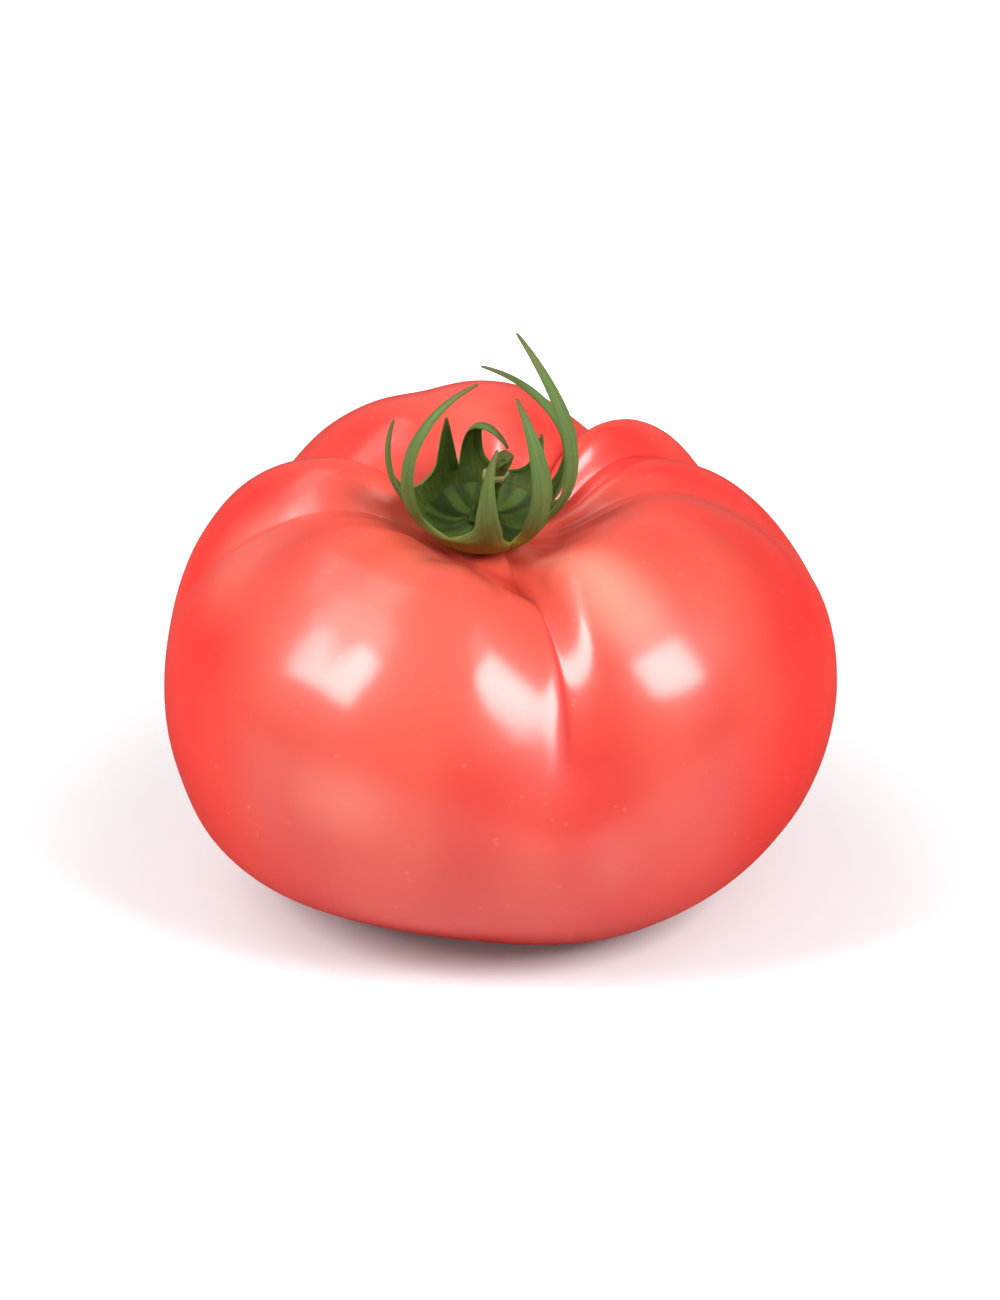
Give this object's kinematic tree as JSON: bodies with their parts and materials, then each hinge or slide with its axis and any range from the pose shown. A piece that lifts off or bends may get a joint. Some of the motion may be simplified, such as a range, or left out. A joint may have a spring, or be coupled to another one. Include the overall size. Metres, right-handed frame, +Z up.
{
  "type": "ribbed beefsteak tomato",
  "caption": "Ripe pink-red ribbed beefsteak tomato as picked, wide and lobed, with its green calyx of long curling sepals and a stub of stalk; it rests on its blossom end.",
  "frame": {"origin": "middle of the small flat spot at the blossom end that the fruit rests on", "axes": "+Z up towards the stem end, -Y towards the front, where the deepest front crease is a little to +X"},
  "size_m": [0.0972, 0.0948, 0.0858],
  "materials": {
    "skin": "gloss",
    "calyx": "matte",
    "sepal": "matte",
    "stalk": "matte"
  },
  "bodies": {
    "root": {"fruit": "skin", "calyx_base": "calyx", "sepal_1": "sepal", "sepal_2": "sepal", "sepal_3": "sepal", "sepal_4": "sepal", "sepal_5": "sepal", "sepal_6": "sepal", "sepal_7": "sepal", "sepal_8": "sepal", "sepal_9": "sepal", "stalk": "stalk"}
  },
  "joints": []
}
